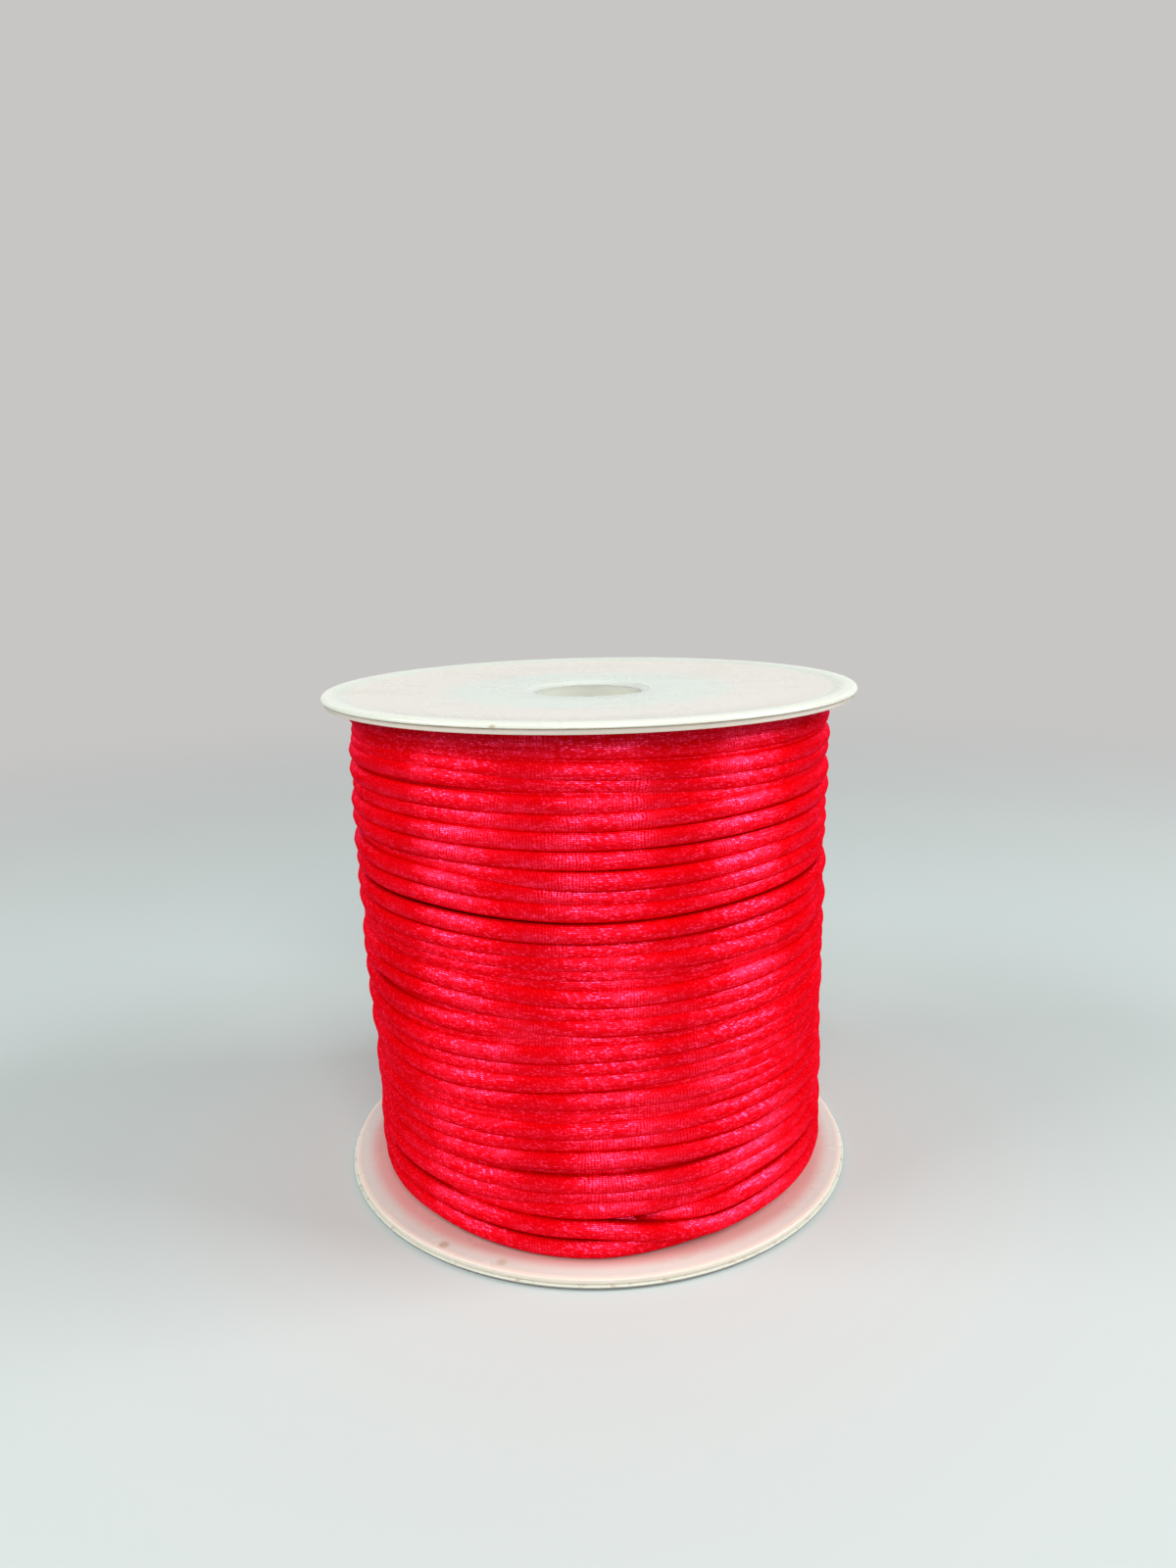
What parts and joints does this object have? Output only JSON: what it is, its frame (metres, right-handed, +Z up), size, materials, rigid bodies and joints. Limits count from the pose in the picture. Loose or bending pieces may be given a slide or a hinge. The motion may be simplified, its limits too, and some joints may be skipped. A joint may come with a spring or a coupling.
{
  "type": "spool of rattail cord",
  "caption": "White plastic spool with two round flanges, wound full of red-pink satin rattail cord in uneven turns.",
  "frame": {"origin": "centre of the ring that the spool stands on, on the spool's axis", "axes": "+Z up along the spool's axis, from the bottom flange to the top flange; -Y towards the side that the picture shows"},
  "size_m": [0.06, 0.06, 0.0567],
  "materials": {
    "spool_plastic": "milky white moulded plastic, glossy, slightly translucent, faintly scuffed",
    "satin_cord": "red-pink satin cord with a fine crosswise rib and a soft lengthwise sheen"
  },
  "bodies": {
    "root": {"flange_top": "spool_plastic", "flange_bottom": "spool_plastic", "hub": "spool_plastic", "cord_winding": "satin_cord"}
  },
  "joints": []
}
